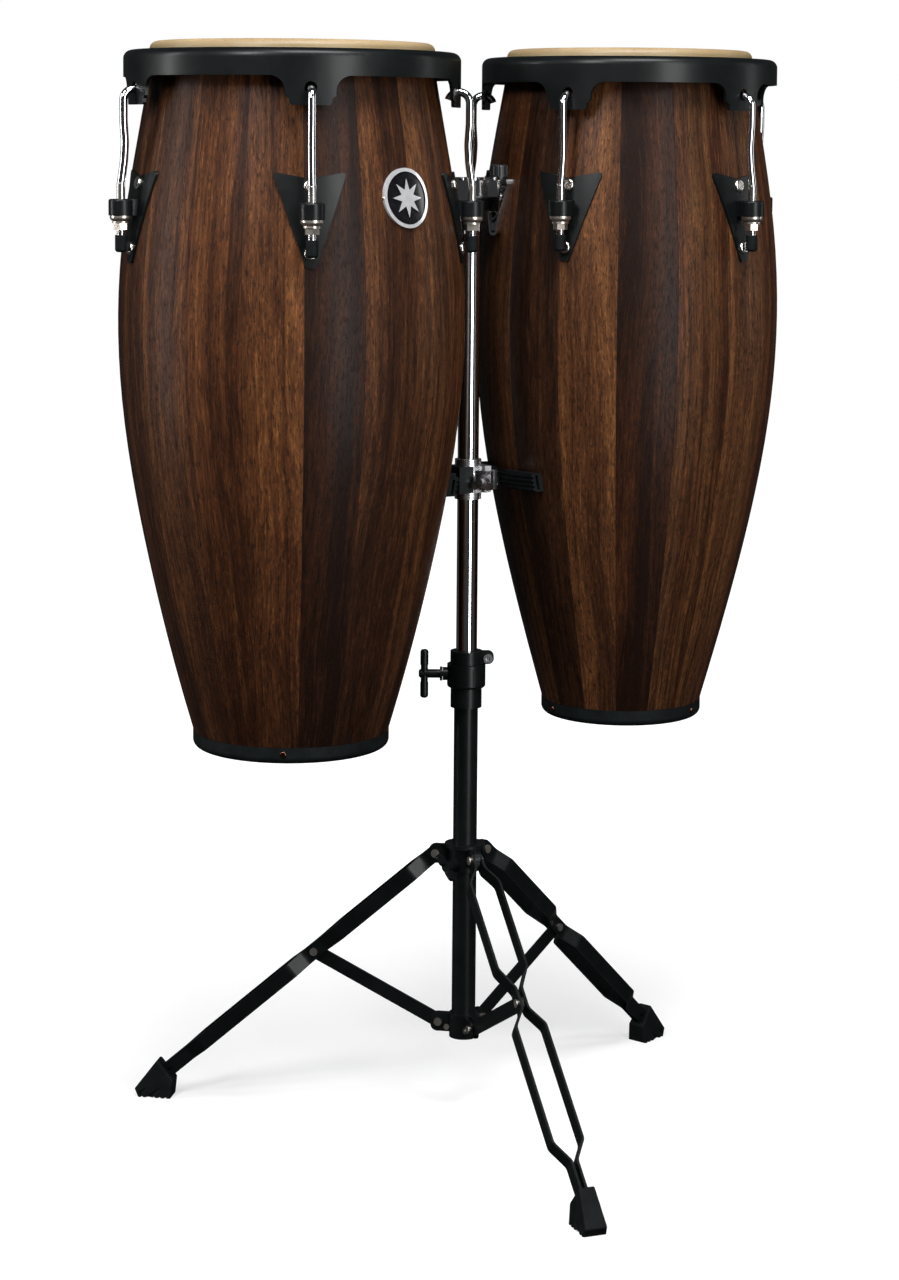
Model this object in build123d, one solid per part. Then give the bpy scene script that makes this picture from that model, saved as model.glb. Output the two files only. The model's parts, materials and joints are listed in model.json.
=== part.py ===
from build123d import *

import os
from math import atan, cos, degrees, hypot, radians, sin

# A pair of stave-built conga drums hung from one folding double-braced tripod stand.
# Millimetres and degrees. +Z is up, and the origin is the middle of the floor footprint.
# Heights in this file are measured from a datum plane a little under the floor.

# ---- Where the pole stands and how the drums hang from it ----
POLE_X = 12.48
POLE_Y = 27.34
FLOOR = 4.5                 # height of the floor above the datum plane
DRUM_LINE = 27.3            # direction from the conga through the pole to the quinto
DRUM_BASE = 428.0           # height of both drums' lower edge

# ---- Drum shells ----
SHELL_HEIGHT = 711.0
WALL = 13.0
BAND_HEIGHT = 17.0
REBATE = 4.5                # how far the shell is turned down under the base band
BAND_SCREWS = (1.7, 121.7, 241.7)
BAND_SCREW_Z = 10.2
EDGE_RADIUS = 5.0           # rounded bearing edge under the skin
LUG_COUNT = 5
LUG_PITCH = 360.0 / LUG_COUNT
FIRST_LUG = LUG_PITCH / 2   # the mount bracket sits midway between two lugs

# ---- Tuning hardware, heights above the drum's lower edge ----
ROD_RADIUS = 4.0
RIM_TOP = 704.5
RIM_SKIRT = 678.0
RIM_THICK = 3.5
EAR_BOTTOM = 650.0
HOOK_HOLE_Z = 666.5
HOOK_HOLE = 6.0
HOOK_BEND = 11.0            # radius of the hook's turn through the ear
PLATE_THICK = 2.5
PLATE_TOP = 587.0
PLATE_TIP = 495.5
LUG_BOLTS = (573.0, 509.5)
BARREL_LOW = 542.0
BARREL_HIGH = 558.0
BRACKET_BOLTS = (569.0, 558.0, 546.0)
BOLT_RADIUS = 3.0
BOLT_HOLE = 3.1

# ---- Mount between stand and drum, measured from the pole's axis ----
BRACKET_DEPTH = 8.0         # how far the bracket's walls stand off the shell
SOCKET_REACH = 26.0
TONGUE_NEAR = 20.0
TONGUE_THICK = 3.0
TONGUE_HALF = 12.0
BRACKET_TOP = 579.5
BRACKET_TIP = 519.0
BRACKET_WALL = 2.6
KNOB_REACH = 29.5
KNOB_SIDE = 8.0

# ---- Pole ----
POLE_RADIUS = 11.1
TUBE_RADIUS = 12.7
TUBE_BORE = 11.5
POLE_LOW = 300.0
POLE_HIGH = 1003.0
TUBE_LOW = 94.0
TUBE_HIGH = 470.0
CLAMP_TOP = 495.0
LOCK_TOP = 509.0
LOCK_BOLT = (22.8, 502.0)   # the memory lock's bolt, out from the pole and up
HANDLE_Z = 484.0
HANDLE_REACH = 44.4
KNEE_Z = 692.0
KNEE_SCREW = -25.0          # direction of the knee clamp's split
KNEE_SLEEVE = 14.0
CHEEK_HALF = 14.0
CRADLE_HALF = 56.0
PAD_NEAR = 12.0
PAD_END = 60.0

# ---- Tripod ----
LEG_AZIMUTHS = {"front": -69.2, "right": 50.8, "left": 170.8}
LEG_PIVOT = (31.0, 290.0)
MID_PIVOT = (163.0, 175.0)
BRACE_PIVOT = (27.0, 106.0)
LEG_LENGTH = 408.0
STRIP_WIDTH = 16.0
STRIP_THICK = 2.5
STRIP_BULGE = 16.0          # middle of a strip to the leg's centre plane where the pair opens
TAB_HALF = 3.0
WING_AZIMUTH = 230.8
WING_Z = 281.0
BRACE_WIDTH = 15.0
BRACE_HALF = 1.5
PIVOT_RADIUS = 2.5
PIVOT_HOLE = 2.56
CLEVIS_SCREW = (17.5, 101.0)
LEG_TILT = degrees(atan((LEG_PIVOT[1] - MID_PIVOT[1]) / (MID_PIVOT[0] - LEG_PIVOT[0])))
LEG_MID = hypot(LEG_PIVOT[1] - MID_PIVOT[1], MID_PIVOT[0] - LEG_PIVOT[0])


class Drum:
    """A drum in its own frame: z = 0 at its lower edge, +X towards the pole."""

    def __init__(self, name, reach, turn, stations, staves, rim_radius, has_knob):
        self.name = name
        self.reach = reach              # drum axis to pole axis
        self.turn = turn                # direction of the drum's +X in the stand's frame
        self.stations = stations        # (height, outer radius) pairs that the belly passes
        self.staves = staves
        self.rim_radius = rim_radius
        self.rod_x = rim_radius + 14.0  # the tuning rods' axes
        self.has_knob = has_knob        # a lock knob on the mount bracket

    def radius(self, z):
        """Outer shell radius: the polynomial through the stations."""
        total = 0.0
        for i, (zi, ri) in enumerate(self.stations):
            term = ri
            for j, (zj, _) in enumerate(self.stations):
                if j != i:
                    term *= (z - zj) / (zi - zj)
            total += term
        return total

    def slope(self, z):
        return (self.radius(z + 1.0) - self.radius(z - 1.0)) / 2.0

    def curve(self, offset, low, high, count=9):
        """The shell's outline moved outwards by offset, as a spline in the XZ plane."""
        heights = [low + (high - low) * i / (count - 1) for i in range(count)]
        return Spline(*[(self.radius(z) + offset, 0, z) for z in heights])

    def sleeve(self, inner, outer, low, high):
        """A ring that follows the shell between two offsets from its surface."""
        start = self.curve(inner, low, high)
        end = self.curve(outer, low, high)
        face = Face(Wire([start, end, Line(start @ 0, end @ 0), Line(start @ 1, end @ 1)]))
        return revolve(face, Axis.Z, 360)

    def on_shell(self, z, azimuth):
        """Location on the shell whose +X is the outward normal."""
        tilt = degrees(atan(self.slope(z)))
        return Rot(0, 0, azimuth) * Pos(self.radius(z), 0, z) * Rot(0, tilt, 0)

    def place(self, shape):
        side = -1.0 if self.turn == DRUM_LINE else 1.0
        x = side * self.reach * cos(radians(DRUM_LINE))
        y = side * self.reach * sin(radians(DRUM_LINE))
        return Pos(x, y, DRUM_BASE) * Rot(0, 0, self.turn) * shape


CONGA = Drum("conga", 202.0, DRUM_LINE,
             [(0, 94.5), (130, 130.3), (297, 164.1), (440, 174.9), (583, 161.0), (711, 139.7)],
             18, 169.0, False)
QUINTO = Drum("quinto", 189.6, DRUM_LINE + 180.0,
              [(0, 81.0), (130, 116.3), (287, 149.6), (433, 161.7), (585, 148.7), (711, 127.0)],
              16, 157.0, True)


def write(name, solids):
    """Move a sub-part's solids into the row's frame and write its STEP file."""
    solids = solids if isinstance(solids, list) else [solids]
    placed = [Pos(POLE_X, POLE_Y, -FLOOR) * solid for solid in solids]
    export_step(Compound(placed) if len(placed) > 1 else placed[0], f"parts/{name}.step")


def rod(radius, start, end):
    """A round bar between two points."""
    run = Vector(end) - Vector(start)
    return Plane(origin=start, z_dir=run) * Cylinder(
        radius, run.length, align=(Align.CENTER, Align.CENTER, Align.MIN))


def disc(radius, low, high):
    return rod(radius, (0, 0, low), (0, 0, high))


def ring(outer, inner, low, high):
    return disc(outer, low, high) - disc(inner, low - 1, high + 1)


def block(x0, x1, y0, y1, z0, z1):
    """A box between two opposite corners, given in either order."""
    size = Box(abs(x1 - x0), abs(y1 - y0), abs(z1 - z0))
    return Pos((x0 + x1) / 2, (y0 + y1) / 2, (z0 + z1) / 2) * size


def bar_x(radius, x0, x1):
    """A round bar along +X."""
    return rod(radius, (x0, 0, 0), (x1, 0, 0))


def prism_x(points, x0, x1, corner=0.0):
    """A (y, z) outline pushed along +X from x0 to x1."""
    outline = make_face(Polyline(*points, close=True))
    if corner:
        outline = fillet(outline.vertices(), corner)
    return extrude(Plane(origin=(x0, 0, 0), x_dir=(0, 1, 0), z_dir=(1, 0, 0)) * outline, x1 - x0)


def dome_head(radius, height, x0):
    """A low domed head with its flat side at x0 and its crown towards +X."""
    head = bar_x(radius, x0, x0 + height)
    crown = head.edges().filter_by(GeomType.CIRCLE).sort_by(Axis.X)[-1]
    return fillet(crown, height * 0.85)


def hex_nut(size, bore, low, high):
    body = extrude(Pos(0, 0, low) * RegularPolygon(size, 6), high - low)
    return body - disc(bore, low - 1, high + 1)


def around(shape, azimuths):
    return [Rot(0, 0, azimuth) * shape for azimuth in azimuths]


LUG_AZIMUTHS = [FIRST_LUG + LUG_PITCH * i for i in range(LUG_COUNT)]


# ---- Drum pieces, each in its drum's own frame ----

def band_spot(drum, azimuth):
    """A screw's place on the base band, with +X outwards."""
    return Rot(0, 0, azimuth) * Pos(drum.radius(BAND_HEIGHT) + 0.4, 0, BAND_SCREW_Z)


def shell_holes(drum):
    """Every bolt and screw hole through the shell wall."""
    hole = bar_x(BOLT_HOLE, -WALL - 12, 8)
    holes = [drum.on_shell(z, azimuth) * hole for azimuth in LUG_AZIMUTHS for z in LUG_BOLTS]
    holes += [drum.on_shell(z, 0) * hole for z in BRACKET_BOLTS]
    holes += [band_spot(drum, azimuth) * bar_x(1.6, -WALL - 8, 8) for azimuth in BAND_SCREWS]
    return holes


def shell(drum):
    """Separate staves, each one a slice of the turned shell."""
    step = 360.0 / drum.staves
    shoulder = SHELL_HEIGHT - EDGE_RADIUS
    top_x = drum.radius(shoulder)
    mid = EDGE_RADIUS * sin(radians(45))
    centre_x = top_x - EDGE_RADIUS
    outside = drum.curve(0.0, BAND_HEIGHT, shoulder)
    inside = drum.curve(-WALL, 3.0, SHELL_HEIGHT)
    edge = ThreePointArc((top_x, 0, shoulder), (centre_x + mid, 0, shoulder + mid),
                         (centre_x, 0, SHELL_HEIGHT))
    foot_x = drum.radius(3.0) - REBATE
    step_x = drum.radius(BAND_HEIGHT) - REBATE
    outline = Wire([
        outside, edge,
        Line((centre_x, 0, SHELL_HEIGHT), inside @ 1), inside,
        Line(inside @ 0, (foot_x, 0, 3.0)), Line((foot_x, 0, 3.0), (step_x, 0, BAND_HEIGHT)),
        Line((step_x, 0, BAND_HEIGHT), outside @ 0)])
    stave = revolve(Face(outline), Axis.Z, step)
    holes = shell_holes(drum)
    staves = []
    for i in range(drum.staves):
        cut = Rot(0, 0, step * (i + 0.5)) * stave - holes
        staves += cut.solids()
    return staves


def base_band(drum):
    """Black band round the drum's foot, with a lip under the staves."""
    low_x = drum.radius(0.0)
    high_x = drum.radius(BAND_HEIGHT)
    wall_x = high_x + 0.4
    points = [(low_x - 12.0, 0, 0), (wall_x, 0, 0), (wall_x, 0, BAND_HEIGHT - 0.2),
              (high_x - REBATE + 0.1, 0, BAND_HEIGHT - 0.2),
              (drum.radius(3.0) - REBATE + 0.1, 0, 2.9), (low_x - 12.0, 0, 2.9)]
    face = make_face(Polyline(*points, close=True))
    band = revolve(face, Axis.Z, 360)
    lower_rim = band.edges().filter_by(GeomType.CIRCLE).sort_by(Axis.Z)[:2].sort_by(
        SortBy.RADIUS)[-1]
    band = fillet(lower_rim, 7.0)
    return band - [band_spot(drum, azimuth) * bar_x(1.6, -16, 8) for azimuth in BAND_SCREWS]


def head(drum):
    """Rawhide skin: flat top, rounded over the bearing edge, tucked out over the hoop."""
    gap = 0.15
    thick = 2.4
    shoulder = SHELL_HEIGHT - EDGE_RADIUS
    centre_x = drum.radius(shoulder) - EDGE_RADIUS
    lip = 698.2
    inner = EDGE_RADIUS + gap
    outer = inner + thick
    half = sin(radians(45))
    lip_x = drum.radius(lip) + gap
    edges = [
        Line((0, 0, shoulder + inner), (centre_x, 0, shoulder + inner)),
        ThreePointArc((centre_x, 0, shoulder + inner),
                      (centre_x + inner * half, 0, shoulder + inner * half),
                      (centre_x + inner, 0, shoulder)),
        Line((centre_x + inner, 0, shoulder), (lip_x, 0, lip)),
        Line((lip_x, 0, lip), (lip_x + 9.0, 0, lip)),
        Line((lip_x + 9.0, 0, lip), (lip_x + 9.0, 0, lip + 2.2)),
        Line((lip_x + 9.0, 0, lip + 2.2), (lip_x + thick, 0, lip + 2.2)),
        Line((lip_x + thick, 0, lip + 2.2), (centre_x + outer, 0, shoulder)),
        ThreePointArc((centre_x + outer, 0, shoulder),
                      (centre_x + outer * half, 0, shoulder + outer * half),
                      (centre_x, 0, shoulder + outer)),
        Line((centre_x, 0, shoulder + outer), (0, 0, shoulder + outer)),
        Line((0, 0, shoulder + outer), (0, 0, shoulder + inner)),
    ]
    return revolve(Face(Wire(edges)), Axis.Z, 360)


def flesh_hoop(drum):
    inner = drum.radius(698.0) + 4.2
    return ring(inner + 6.0, inner, 690.0, 698.0)


def rim(drum):
    """Pressed steel rim: flat top, rolled corner, skirt, and five ears for the hooks."""
    outer = drum.rim_radius
    lip = drum.radius(SHELL_HEIGHT - EDGE_RADIUS) + 3.8
    bend = 8.5
    corner_x = outer - bend
    corner_z = RIM_TOP - bend
    inner_bend = bend - RIM_THICK
    half = sin(radians(45))
    edges = [
        Line((lip, 0, RIM_TOP - RIM_THICK), (lip, 0, RIM_TOP)),
        Line((lip, 0, RIM_TOP), (corner_x, 0, RIM_TOP)),
        ThreePointArc((corner_x, 0, RIM_TOP), (corner_x + bend * half, 0, corner_z + bend * half),
                      (outer, 0, corner_z)),
        Line((outer, 0, corner_z), (outer, 0, EAR_BOTTOM)),
        Line((outer, 0, EAR_BOTTOM), (outer - RIM_THICK, 0, EAR_BOTTOM)),
        Line((outer - RIM_THICK, 0, EAR_BOTTOM), (outer - RIM_THICK, 0, corner_z)),
        ThreePointArc((outer - RIM_THICK, 0, corner_z),
                      (corner_x + inner_bend * half, 0, corner_z + inner_bend * half),
                      (corner_x, 0, RIM_TOP - RIM_THICK)),
        Line((corner_x, 0, RIM_TOP - RIM_THICK), (lip, 0, RIM_TOP - RIM_THICK)),
    ]
    body = revolve(Face(Wire(edges)), Axis.Z, 360)
    foot = 20.5
    hip = 24.5
    flare = 15.0
    side = [Line((0, EAR_BOTTOM), (foot - 3, EAR_BOTTOM)),
            RadiusArc((foot - 3, EAR_BOTTOM), (foot, EAR_BOTTOM + 3), -3),
            Line((foot, EAR_BOTTOM + 3), (foot, EAR_BOTTOM + 6)),
            Line((foot, EAR_BOTTOM + 6), (hip, EAR_BOTTOM + 9)),
            Line((hip, EAR_BOTTOM + 9), (hip, RIM_SKIRT - flare)),
            RadiusArc((hip, RIM_SKIRT - flare), (hip + flare, RIM_SKIRT), flare),
            Line((hip + flare, RIM_SKIRT), (0, RIM_SKIRT)),
            Line((0, RIM_SKIRT), (0, EAR_BOTTOM))]
    half_ear = make_face(side)
    outline = half_ear + mirror(half_ear, Plane.YZ)
    plane = Plane(origin=(outer - 30, 0, 0), x_dir=(0, 1, 0), z_dir=(1, 0, 0))
    ear = extrude(plane * outline, 40)
    gaps = ring(outer + 5, outer - RIM_THICK - 5, EAR_BOTTOM - 1, RIM_SKIRT)
    gaps -= around(ear, LUG_AZIMUTHS)
    hole = Pos(0, 0, HOOK_HOLE_Z) * bar_x(HOOK_HOLE, outer - 30, outer + 10)
    body = body - gaps - around(hole, LUG_AZIMUTHS)
    return max(body.solids(), key=lambda solid: solid.volume)


def hook(drum):
    """Tuning hook: a J turned through the rim's ear, an S-bent shank, and a straight end."""
    x = drum.rod_x
    crown = HOOK_HOLE_Z - HOOK_HOLE + ROD_RADIUS + 0.9
    turn_x = x - 3.0 - HOOK_BEND
    turn_z = crown - HOOK_BEND
    tip = radians(72)
    bend = ThreePointArc(
        (turn_x - HOOK_BEND * sin(tip), 0, turn_z + HOOK_BEND * cos(tip)),
        (turn_x, 0, crown), (turn_x + HOOK_BEND, 0, turn_z))
    points = [bend @ 1, (x - 3.0, 0, 634.0), (x - 4.4, 0, 613.0), (x - 3.4, 0, 596.0),
              (x, 0, 572.0), (x, 0, 508.0)]
    shank = FilletPolyline(*points, radius=60.0)
    section = Plane(origin=bend @ 0, z_dir=bend % 0) * Circle(ROD_RADIUS)
    return sweep(section, path=Wire([bend, *shank.edges()]))


def hook_tip(drum):
    """Rubber cap pushed over the rod's lower end."""
    cap = disc(6.0, 506.0, 523.0)
    cap = fillet(cap.edges().filter_by(GeomType.CIRCLE).sort_by(Axis.Z)[0], 3.0)
    cap = fillet(cap.edges().filter_by(GeomType.CIRCLE).sort_by(Axis.Z)[-1], 1.0)
    return Pos(drum.rod_x, 0, 0) * (cap - disc(ROD_RADIUS, 508.0, 530.0))


def lug_plate(drum):
    """Triangular plate bent to the shell, with the barrel that takes the hook's pull."""
    outline = [(-36.0, PLATE_TOP), (0, PLATE_TOP - 6.5), (36.0, PLATE_TOP),
               (4.8, PLATE_TIP), (-4.8, PLATE_TIP)]
    sheet = drum.sleeve(0.1, PLATE_THICK, PLATE_TIP - 3, PLATE_TOP + 3)
    plate = prism_x(outline, 100, drum.rod_x, corner=3.0) & sheet
    x = drum.rod_x
    skin = drum.radius(BARREL_LOW) + 1.0
    web = block(skin, x, -8, 8, BARREL_LOW, BARREL_HIGH)
    barrel = Pos(x, 0, 0) * disc(12.2, BARREL_LOW, BARREL_HIGH)
    barrel = fillet(barrel.edges().filter_by(GeomType.CIRCLE).sort_by(Axis.Z)[-1], 2.0)
    body = plate + web + barrel - Pos(x, 0, 0) * disc(4.4, 500, 600)
    for z in LUG_BOLTS:
        body -= drum.on_shell(z, 0) * bar_x(BOLT_HOLE, -5, 20)
    return body.solids()[0]


def through_bolt(head_radius, seat):
    """Carriage bolt through the wall, with its washer and nut inside the shell."""
    inner = -WALL - 0.5
    bolt = bar_x(BOLT_RADIUS, inner - 8.0, seat) + dome_head(head_radius, 2.5, seat)
    washer = bar_x(8.0, inner - 1.5, inner) - bar_x(BOLT_RADIUS, inner - 3, inner + 3)
    nut = Rot(0, 90, 0) * hex_nut(5.8, BOLT_RADIUS, inner - 6.5, inner - 1.5)
    return [bolt, washer, nut]


def band_screw():
    return bar_x(1.5, -14.0, 0.1) + dome_head(3.4, 1.6, 0.1) - bar_x(1.2, 0.9, 3.0)


def shell_fasteners(drum):
    """Lug bolts, bracket bolts and the base band's screws."""
    pieces = []
    for azimuth in LUG_AZIMUTHS:
        for z in LUG_BOLTS:
            pieces += [drum.on_shell(z, azimuth) * s for s in through_bolt(6.5, PLATE_THICK)]
    for z in BRACKET_BOLTS:
        pieces += [drum.on_shell(z, 0) * s for s in through_bolt(4.8, BRACKET_WALL + 0.15)]
    pieces += [band_spot(drum, azimuth) * band_screw() for azimuth in BAND_SCREWS]
    return pieces


def tuning_nut(drum):
    """Domed washer and flanged hex nut under the lug's barrel."""
    bore = ROD_RADIUS + 0.08
    washer = disc(11.0, BARREL_LOW - 5.6, BARREL_LOW - 0.1)
    washer = fillet(washer.edges().filter_by(GeomType.CIRCLE).sort_by(Axis.Z)[0], 4.0)
    washer -= disc(bore, 500, 600)
    flange = ring(8.6, bore, BARREL_LOW - 7.6, BARREL_LOW - 5.7)
    nut = flange + hex_nut(7.4, bore, BARREL_LOW - 14.0, BARREL_LOW - 7.6)
    return [Pos(drum.rod_x, 0, 0) * washer, Pos(drum.rod_x, 0, 0) * nut]


def bracket(drum):
    """Shield-shaped tray bolted to the shell, with a tongue for the stand's socket."""
    outer = [(-21.0, BRACKET_TOP), (21.0, BRACKET_TOP), (7.5, BRACKET_TIP), (-7.5, BRACKET_TIP)]
    top = BRACKET_TOP - BRACKET_WALL
    low = BRACKET_TIP + 2.6
    inner = [(-18.0, top), (18.0, top), (5.2, low), (-5.2, low)]
    ends = (BRACKET_TIP - 14, BRACKET_TOP + 14)
    near_x = drum.radius(BRACKET_TOP) - 15.0
    face_x = drum.radius(BRACKET_TOP) + BRACKET_DEPTH
    tray = prism_x(outer, near_x, drum.reach - SOCKET_REACH - 0.8, corner=6.0)
    tray = tray & drum.sleeve(0.15, BRACKET_DEPTH, *ends)
    pocket = prism_x(inner, near_x, drum.reach, corner=4.1)
    pocket = pocket & drum.sleeve(BRACKET_WALL, BRACKET_DEPTH + 4.0, *ends)
    far_x = drum.reach - TONGUE_NEAR
    bridge = block(face_x - 3, far_x, -TONGUE_HALF, TONGUE_HALF, top, BRACKET_TOP)
    tongue = block(far_x - TONGUE_THICK, far_x, -TONGUE_HALF, TONGUE_HALF,
                   BRACKET_TOP - 30, BRACKET_TOP)
    body = tray - pocket + bridge + tongue
    for z in BRACKET_BOLTS:
        body -= drum.on_shell(z, 0) * bar_x(BOLT_HOLE, -5, BRACKET_WALL + 1.5)
    if drum.has_knob:
        body -= knob_spot(drum) * disc(2.56, BRACKET_TOP - 10, BRACKET_TOP + 5)
    return max(body.solids(), key=lambda solid: solid.volume)


def badge(drum):
    """Round plaque with a plain raised star, held by two rivets."""
    z = 562.0
    azimuth = LUG_AZIMUTHS[-1] - LUG_PITCH / 2
    sheet = drum.sleeve(0.1, 1.6, z - 45, z + 45)
    border = drum.sleeve(1.5, 2.6, z - 45, z + 45)
    x0 = drum.radius(z) - 20
    centred = Pos(0, 0, z)
    plate = (centred * bar_x(29.0, x0, x0 + 60)) & sheet
    frame = (centred * (bar_x(29.0, x0, x0 + 60) - bar_x(25.5, x0, x0 + 60))) & border
    points = []
    for i in range(16):
        size = 19.0 if i % 2 == 0 else 8.5
        angle = radians(22.5 * i)
        points.append((size * sin(angle), z + size * cos(angle)))
    star = prism_x(points, x0, x0 + 60) & border
    plaque = plate + frame + star
    return [Rot(0, 0, azimuth) * solid for solid in plaque.solids()]


# ---- Stand ----

def lower_tube():
    return ring(TUBE_RADIUS, TUBE_BORE, TUBE_LOW, TUBE_HIGH)


def height_clamp():
    """Collar on the tube's top end: wide upper part, plain lower ring, boss for the handle."""
    lower = ring(16.5, TUBE_RADIUS, 449.0, TUBE_HIGH)
    upper = disc(20.3, TUBE_HIGH, CLAMP_TOP)
    upper = fillet(upper.edges().filter_by(GeomType.CIRCLE).sort_by(Axis.Z)[0], 3.0)
    upper -= disc(POLE_RADIUS + 1.5, 400, 520)
    boss = rod(7.0, (-25.0, 0, HANDLE_Z), (-14.0, 0, HANDLE_Z)) - disc(17.0, 400, 520)
    pad = ring(21.4, 19.0, 474.5, 490.5) & block(7.5, 18.5, -25.0, 0.0, 470.0, 495.0)
    body = lower + upper + boss + pad
    body -= rod(3.1, (-30.0, 0, HANDLE_Z), (-11.0, 0, HANDLE_Z))
    return body.solids()[0]


def tube_bushing():
    """Plastic sleeve that guides the pole inside the clamp."""
    return ring(POLE_RADIUS + 1.45, POLE_RADIUS + 0.06, TUBE_HIGH + 0.1, CLAMP_TOP - 0.3) - rod(
        3.1, (-30.0, 0, HANDLE_Z), (-5.0, 0, HANDLE_Z))


def height_handle():
    """T-handle: screw, washer and cross bar."""
    z = HANDLE_Z
    screw = rod(3.0, (-HANDLE_REACH, 0, z), (-13.5, 0, z))
    washer = rod(7.5, (-28.0, 0, z), (-25.3, 0, z))
    stem = rod(4.6, (-HANDLE_REACH - 6.0, 0, z), (-28.0, 0, z))
    cross = rod(4.3, (-HANDLE_REACH, 0, z - 26.0), (-HANDLE_REACH, 0, z + 26.0))
    cross = fillet(cross.edges().filter_by(GeomType.CIRCLE), 3.0)
    stem = fillet(stem.edges().filter_by(GeomType.CIRCLE).sort_by(Axis.X)[0], 2.5)
    waist = ring(8.0, 3.8, -2.5, 2.5)
    for side in (1, -1):
        cross -= Pos(-HANDLE_REACH, 0, z + side * 7.0) * waist
    return screw + washer + stem + cross


def upper_pole():
    return ring(POLE_RADIUS, POLE_RADIUS - 1.5, POLE_LOW, POLE_HIGH)


def memory_lock():
    """Split ring clamped to the pole; it rests on the height clamp and keeps the height."""
    x, z = LOCK_BOLT
    body = ring(17.0, POLE_RADIUS, CLAMP_TOP + 0.1, LOCK_TOP)
    ear = block(13.0, x, -7.5, 7.5, z - 6.2, z + 6.2) + rod(6.2, (x, -7.5, z), (x, 7.5, z))
    body += ear - disc(15.0, 480, 530)
    body -= block(8.0, 35.0, -1.2, 1.2, CLAMP_TOP - 1, LOCK_TOP + 1)
    body -= rod(3.1, (x, -10, z), (x, 10, z))
    return body.solids()[0]


def memory_lock_bolt():
    x, z = LOCK_BOLT
    shank = rod(3.0, (x, -7.5, z), (x, 12.0, z))
    head_disc = rod(4.9, (x, -11.0, z), (x, -7.6, z))
    socket = Pos(x, 0, z) * Rot(90, 0, 0) * extrude(Pos(0, 0, 9.2) * RegularPolygon(2.7, 6), 3)
    nut = Pos(x, 0, z) * Rot(90, 0, 0) * hex_nut(5.6, 3.0, -11.5, -7.6)
    return [shank + head_disc - socket, nut]


def mount_head():
    """Chrome head on the pole with one open-topped socket for each drum's tongue."""
    body = disc(16.0, 968.0, DRUM_BASE + BRACKET_TOP)
    slot = block(TONGUE_NEAR - 0.5, TONGUE_NEAR + TONGUE_THICK + 0.5,
                 -TONGUE_HALF - 0.4, TONGUE_HALF + 0.4, 960.0, 1015.0)
    turns = (DRUM_LINE, DRUM_LINE + 180.0)
    arm = block(0, SOCKET_REACH, -17.0, 17.0, 972.0, DRUM_BASE + BRACKET_TOP - 2.9)
    body += around(arm, turns)
    body -= disc(POLE_RADIUS, 900.0, POLE_HIGH)
    body -= around(slot, turns)
    return body.solids()[0]


def knob_spot(drum):
    """Where the lock knob's screw goes through the bracket's top flange."""
    return Pos(drum.reach - KNOB_REACH, KNOB_SIDE, 0)


def lock_knob(drum):
    """Ribbed knob that pinches the drum's bracket onto the stand's socket."""
    base = BRACKET_TOP + 0.3
    grip = disc(9.5, base, base + 13.0)
    grip = fillet(grip.edges().filter_by(GeomType.CIRCLE).sort_by(Axis.Z)[-1], 3.0)
    for i in range(12):
        grip -= Rot(0, 0, 30.0 * i) * Pos(9.9, 0, 0) * disc(1.3, base + 2.0, base + 14.0)
    screw = disc(2.5, BRACKET_TOP - BRACKET_WALL, base)
    return knob_spot(drum) * (grip + screw)


def cheek(x0, x1):
    """Half of the knee clamp's outer block, along the drums' line from the pole."""
    body = block(x0, x1, -CHEEK_HALF, CHEEK_HALF, KNEE_Z - CHEEK_HALF, KNEE_Z + CHEEK_HALF)
    return body - disc(KNEE_SLEEVE, KNEE_Z - 30, KNEE_Z + 30)


def knee_clamp():
    """Split chrome sleeve and cheek on the pole, with the quinto cradle's arm."""
    body = ring(KNEE_SLEEVE, POLE_RADIUS, KNEE_Z - 21, KNEE_Z + 21)
    arm = block(12.0, 33.0, -6.5, 6.5, KNEE_Z - 7, KNEE_Z + 7)
    side = cheek(0.8, 20.0) + (arm - disc(KNEE_SLEEVE, KNEE_Z - 30, KNEE_Z + 30))
    body += Rot(0, 0, DRUM_LINE) * side
    ears = block(12.5, 30.0, -8.0, 8.0, KNEE_Z - 10, KNEE_Z + 10) - disc(13.0, 600, 800)
    ears -= block(10.0, 40.0, -1.5, 1.5, KNEE_Z - 15, KNEE_Z + 15)
    body += Rot(0, 0, KNEE_SCREW) * ears
    body -= Rot(0, 0, KNEE_SCREW) * rod(3.1, (23.5, -20.0, KNEE_Z), (23.5, 20.0, KNEE_Z))
    body -= Rot(0, 0, KNEE_SCREW) * block(9.0, 20.0, -1.5, 1.5, KNEE_Z - 25, KNEE_Z + 25)
    body -= Rot(0, 0, KNEE_SCREW) * rod(6.4, (23.5, 8.0, KNEE_Z), (23.5, 30.0, KNEE_Z))
    body -= Rot(0, 0, KNEE_SCREW) * rod(6.4, (23.5, -8.0, KNEE_Z), (23.5, -30.0, KNEE_Z))
    return max(body.solids(), key=lambda solid: solid.volume)


def knee_wing_bolt():
    """Clamp bolt with a wing nut on its outer end."""
    x = 23.5
    body = rod(3.0, (x, -22.0, KNEE_Z), (x, 8.2, KNEE_Z))
    body += rod(5.6, (x, 8.2, KNEE_Z), (x, 10.4, KNEE_Z))
    body += rod(6.0, (x, -18.5, KNEE_Z), (x, -8.3, KNEE_Z))
    for side in (1, -1):
        wing = block(side * 4.0, side * 12.0, -1.5, 1.5, -4.0, 4.0)
        wing = fillet(wing.edges().filter_by(Axis.Y), 2.0)
        body += Pos(x, -16.5, KNEE_Z) * Rot(0, 35 * side, 0) * wing
    return Rot(0, 0, KNEE_SCREW) * body


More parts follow.
